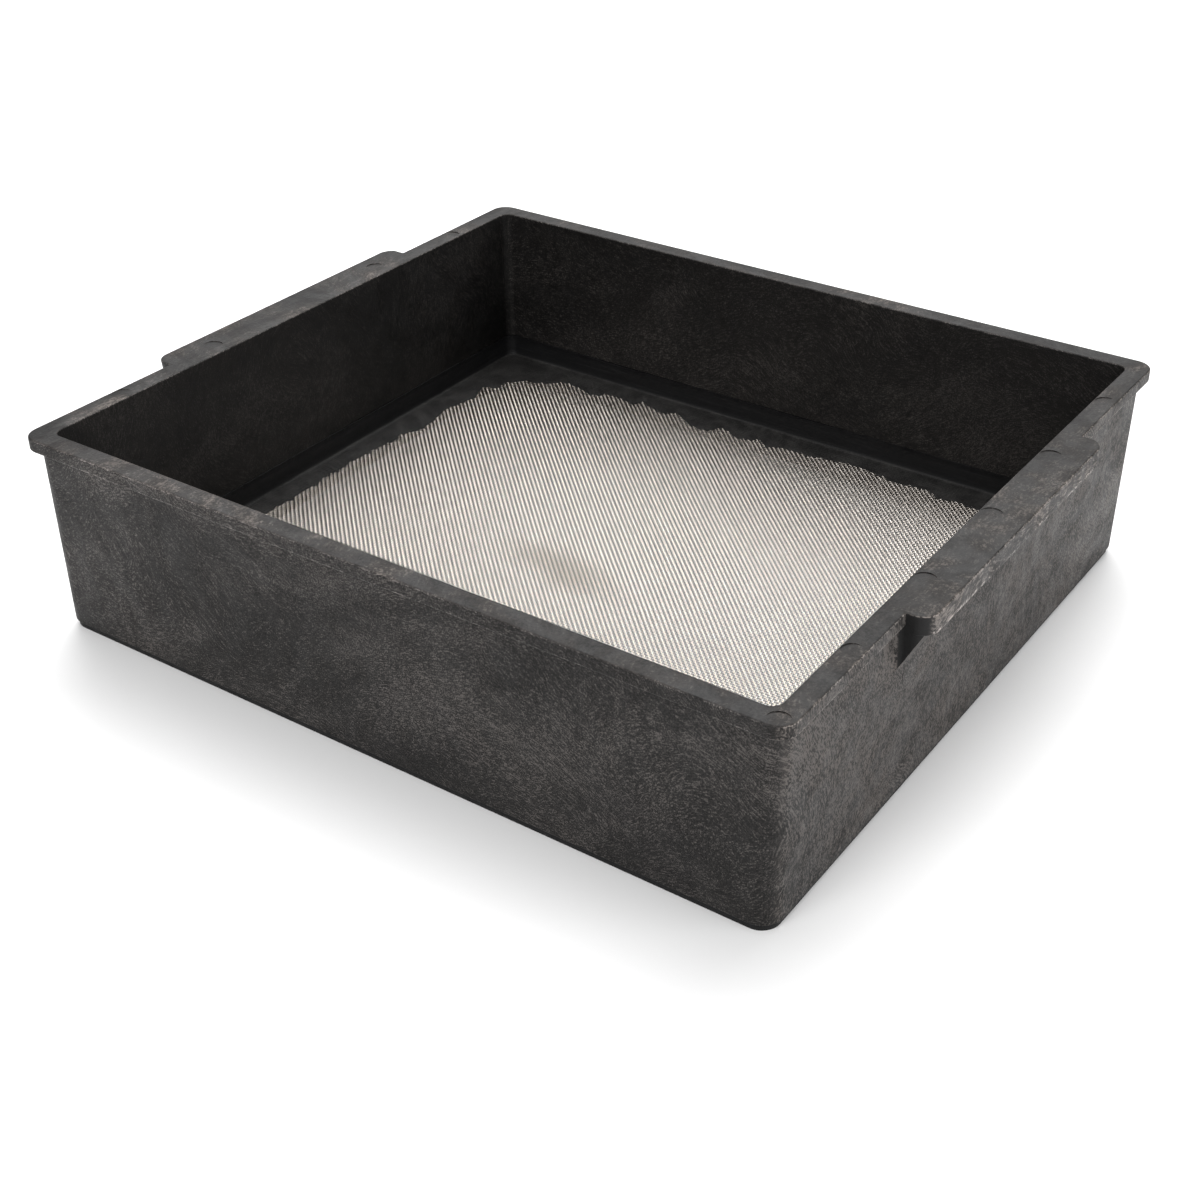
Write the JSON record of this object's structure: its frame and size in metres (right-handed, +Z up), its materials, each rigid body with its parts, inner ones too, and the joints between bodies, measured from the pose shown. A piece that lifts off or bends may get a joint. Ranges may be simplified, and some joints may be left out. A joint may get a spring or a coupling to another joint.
{
  "type": "prospecting sifting tray",
  "caption": "Deep rectangular plastic tray with a flat outstanding rim, a grip along each short end and a woven steel cloth floor, for sifting gravel.",
  "frame": {"origin": "middle of the footprint, on the surface that the tray stands on", "axes": "+X along the long side, +Y across it along the grips, +Z up out of the open top"},
  "size_m": [0.3794, 0.326, 0.092],
  "materials": {
    "tray_plastic": "mottled recycled plastic with faint flow streaks",
    "frame_plastic": "smooth dark recycled plastic",
    "steel_cloth": "bright woven stainless wire, lightly stained"
  },
  "bodies": {
    "root": {"tray_body": "tray_plastic", "screen_frame": "frame_plastic", "wire_mesh": "steel_cloth"}
  },
  "joints": []
}
